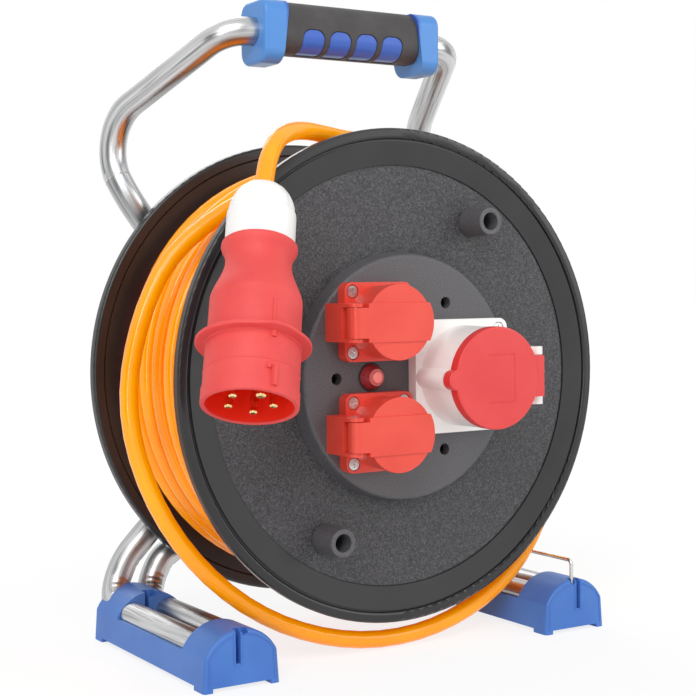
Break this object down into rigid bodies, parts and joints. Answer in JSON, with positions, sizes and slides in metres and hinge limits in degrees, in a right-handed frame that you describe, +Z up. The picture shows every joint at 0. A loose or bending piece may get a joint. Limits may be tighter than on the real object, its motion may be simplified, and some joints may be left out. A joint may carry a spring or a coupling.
{
  "type": "extension cable reel",
  "caption": "Cable reel on a bent tube stand with a carrying grip, a drum with flap outlets and a five-pole socket, an orange cable and its five-pin plug.",
  "frame": {"origin": "on the floor under the middle of the reel without its cable", "axes": "+X to the right seen from the socket side, +Y to the rear, +Z up; the drum turns about Y"},
  "size_m": [0.3317, 0.2673, 0.4133],
  "materials": {
    "steel": "satin",
    "zinc": "polished",
    "dark": "matte",
    "panel": "matte",
    "black": "matte",
    "blue": "satin",
    "grip": "matte",
    "red": "satin",
    "white": "satin",
    "brass": "polished",
    "cable": "satin",
    "boot": "satin"
  },
  "bodies": {
    "stand": {"handle_tube_left": "steel", "handle_tube_right": "steel", "base_tube": "steel", "tube_joiner": "steel", "hub_plate": "steel", "axle": "zinc", "axle_clip": "zinc", "axle_washer": "zinc", "axle_nut": "zinc", "foot_left": "blue", "foot_right": "blue", "foot_screws": "zinc", "grip_shell_front": "blue", "grip_shell_rear": "blue", "grip_cover_front": "grip", "grip_cover_rear": "grip", "grip_screws": "zinc"},
    "drum": {"front_flange": "dark", "rear_flange": "dark", "drum_core": "dark", "cable_gland": "black", "socket_panel": "panel", "panel_screws": "zinc", "knob_post_upper": "dark", "knob_post_lower": "dark", "outlet_upper_housing": "red", "outlet_upper_carrier": "red", "outlet_upper_contacts": "brass", "outlet_upper_hinge_pin": "zinc", "outlet_upper_spring": "zinc", "outlet_lower_housing": "red", "outlet_lower_carrier": "red", "outlet_lower_contacts": "brass", "outlet_lower_hinge_pin": "zinc", "outlet_lower_spring": "zinc", "five_pole_housing": "white", "five_pole_carrier": "red", "five_pole_contacts": "brass", "five_pole_spring": "zinc", "five_pole_seal": "black", "five_pole_hinge_pin": "zinc", "outlet_screws": "zinc", "five_pole_screws": "zinc", "reset_bezel": "black", "thermal_cutout": "black", "axle_bushes": "white", "terminal_block": "white", "cable_winding": "cable", "cable_winding_core": "cable", "cable_loose": "cable", "plug_gland_nut": "white", "plug_seal": "black", "plug_body": "red", "plug_insert": "red", "plug_pins": "brass"},
    "outlet_upper_flap": {"outlet_upper_lid": "red"},
    "outlet_lower_flap": {"outlet_lower_lid": "red"},
    "five_pole_flap": {"five_pole_lid": "red"},
    "reset": {"reset_button": "boot"},
    "bail": {"wire_bail": "zinc"}
  },
  "joints": [
    {"name": "drum_spin", "type": "hinge", "parent": "stand", "child": "drum", "pos_m": [0, 0.0075, 0.1744], "axis": [0, 1, 0], "continuous": true},
    {"name": "outlet_upper_flap_hinge", "type": "hinge", "parent": "drum", "child": "outlet_upper_flap", "pos_m": [-0.056, -0.0931, 0.2097], "axis": [0, 0, -1], "range_deg": [0, 115], "stiffness_Nm_per_rad": 0.02, "springref_deg": -45.84, "deforming": ["outlet_upper_spring"]},
    {"name": "outlet_lower_flap_hinge", "type": "hinge", "parent": "drum", "child": "outlet_lower_flap", "pos_m": [-0.056, -0.0931, 0.1425], "axis": [0, 0, -1], "range_deg": [0, 115], "stiffness_Nm_per_rad": 0.02, "springref_deg": -45.84, "deforming": ["outlet_lower_spring"]},
    {"name": "five_pole_flap_hinge", "type": "hinge", "parent": "drum", "child": "five_pole_flap", "pos_m": [0.071, -0.1025, 0.1744], "axis": [0, 0, 1], "range_deg": [0, 130], "stiffness_Nm_per_rad": 0.06, "springref_deg": -45.84, "deforming": ["five_pole_spring"]},
    {"name": "reset_press", "type": "slide", "parent": "drum", "child": "reset", "axis": [0, 1, 0], "range_m": [0, 0.0025], "stiffness_N_per_m": 800, "springref_m": -0.002},
    {"name": "bail_slide", "type": "slide", "parent": "stand", "child": "bail", "axis": [0, 0, 1], "range_m": [-0.01, 0]}
  ]
}
